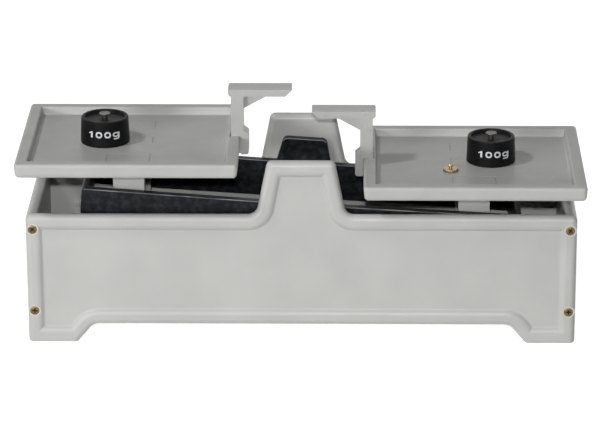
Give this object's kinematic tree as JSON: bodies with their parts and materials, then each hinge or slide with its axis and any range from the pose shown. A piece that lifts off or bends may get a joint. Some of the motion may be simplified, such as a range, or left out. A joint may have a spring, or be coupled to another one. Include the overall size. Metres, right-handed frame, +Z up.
{
  "type": "table scale",
  "caption": "Table scale with level trays on a rocking beam in a grey case. A link below keeps the trays level, pointers meet when the loads balance, and loose weights lift off.",
  "frame": {"origin": "on the table, under the middle knife edge and midway between the case's front and rear faces", "axes": "+X to the right tray, +Y to the back of the case, +Z up"},
  "size_m": [0.3714, 0.1284, 0.1609],
  "materials": {
    "case_plastic": "moulded, fine matt grain, light grey",
    "tray_plastic": "moulded, fine matt grain, grey",
    "beam_plastic": "moulded, satin black",
    "steel": "plain steel, ground edges",
    "bright_steel": "turned and plated",
    "brass": "turned, slightly dull",
    "black_iron": "turned, black satin finish",
    "rubber": "plain"
  },
  "bodies": {
    "case": {"front_panel": "case_plastic", "rear_panel": "case_plastic", "left_end_panel": "case_plastic", "right_end_panel": "case_plastic", "base_plate": "case_plastic", "case_screws_front": "brass", "case_screws_rear": "brass", "base_screws": "steel", "front_bearing": "steel", "rear_bearing": "steel", "link_bracket": "steel", "bracket_screws": "steel", "link_pin": "steel", "link_pin_clip": "steel", "left_stop": "rubber", "right_stop": "rubber"},
    "beam": {"beam_frame": "beam_plastic", "main_knife": "steel", "left_knife": "steel", "right_knife": "steel"},
    "link": {"lower_link": "beam_plastic"},
    "left_side": {"left_carrier": "tray_plastic", "left_carrier_bearings": "steel", "left_lower_pin": "steel", "left_pin_clip": "steel", "left_tray": "tray_plastic", "left_pointer": "tray_plastic"},
    "right_side": {"right_carrier": "tray_plastic", "right_carrier_bearings": "steel", "right_lower_pin": "steel", "right_pin_clip": "steel", "right_tray": "tray_plastic", "right_pointer": "tray_plastic"},
    "left_load": {"left_weight": "black_iron", "left_weight_knob": "bright_steel"},
    "right_load": {"right_weight": "black_iron", "right_weight_knob": "bright_steel"},
    "brass_load": {"brass_weight": "brass"}
  },
  "joints": [
    {"name": "beam_rock", "type": "hinge", "parent": "case", "child": "beam", "pos_m": [0, 0, 0.088], "axis": [0, -1, 0], "range_deg": [0, 7.6]},
    {"name": "link_rock", "type": "hinge", "parent": "case", "child": "link", "pos_m": [0, 0, 0.039], "axis": [0, -1, 0], "range_deg": [0, 7.6]},
    {"name": "left_level", "type": "hinge", "parent": "beam", "child": "left_side", "pos_m": [-0.11325, 0, 0.09552], "axis": [0, 1, 0], "range_deg": [0, 7.6]},
    {"name": "right_level", "type": "hinge", "parent": "beam", "child": "right_side", "pos_m": [0.11325, 0, 0.08048], "axis": [0, 1, 0], "range_deg": [0, 7.6]},
    {"name": "left_weight_lift", "type": "slide", "parent": "left_side", "child": "left_load", "axis": [0, 0, 1], "range_m": [0, 0.06]},
    {"name": "right_weight_lift", "type": "slide", "parent": "right_side", "child": "right_load", "axis": [0, 0, 1], "range_m": [0, 0.06]},
    {"name": "brass_weight_lift", "type": "slide", "parent": "right_side", "child": "brass_load", "axis": [0, 0, 1], "range_m": [0, 0.06]}
  ],
  "couplings": [
    {"joint": "link_rock", "follows": "beam_rock", "ratio": 1},
    {"joint": "left_level", "follows": "beam_rock", "ratio": 1},
    {"joint": "right_level", "follows": "beam_rock", "ratio": 1}
  ]
}
